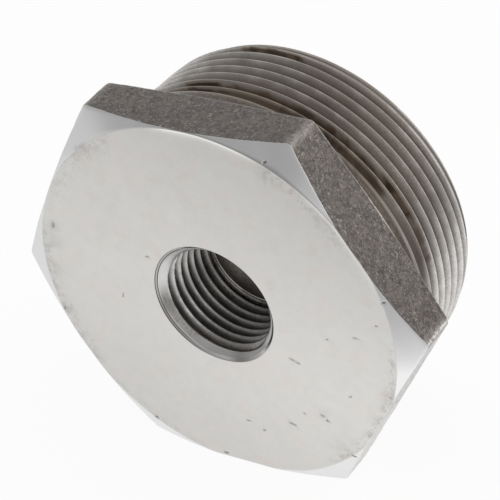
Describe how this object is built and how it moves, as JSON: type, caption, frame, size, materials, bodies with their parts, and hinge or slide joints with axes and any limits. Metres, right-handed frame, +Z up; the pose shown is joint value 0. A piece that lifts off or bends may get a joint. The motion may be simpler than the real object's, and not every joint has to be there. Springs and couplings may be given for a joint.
{
  "type": "hex reducing bushing",
  "caption": "Forged steel hex head reducing bushing: a male taper pipe thread behind a chamfered hexagon, with a smaller female taper pipe thread through its face and a wider recess behind that thread.",
  "frame": {"origin": "on the axis, halfway between the hexagon's face and the end of the male thread, at the centre of the bounding box", "axes": "+Y along the axis from the hexagon's face to the end of the male thread, +X across two corners of the hexagon, +Z up through a wrench flat"},
  "size_m": [0.0728, 0.0298, 0.063],
  "materials": {
    "machined_steel": "turned and threaded bare carbon steel, satin, with dark as-forged wrench flats"
  },
  "bodies": {
    "root": {"bushing_body": "machined_steel"}
  },
  "joints": []
}
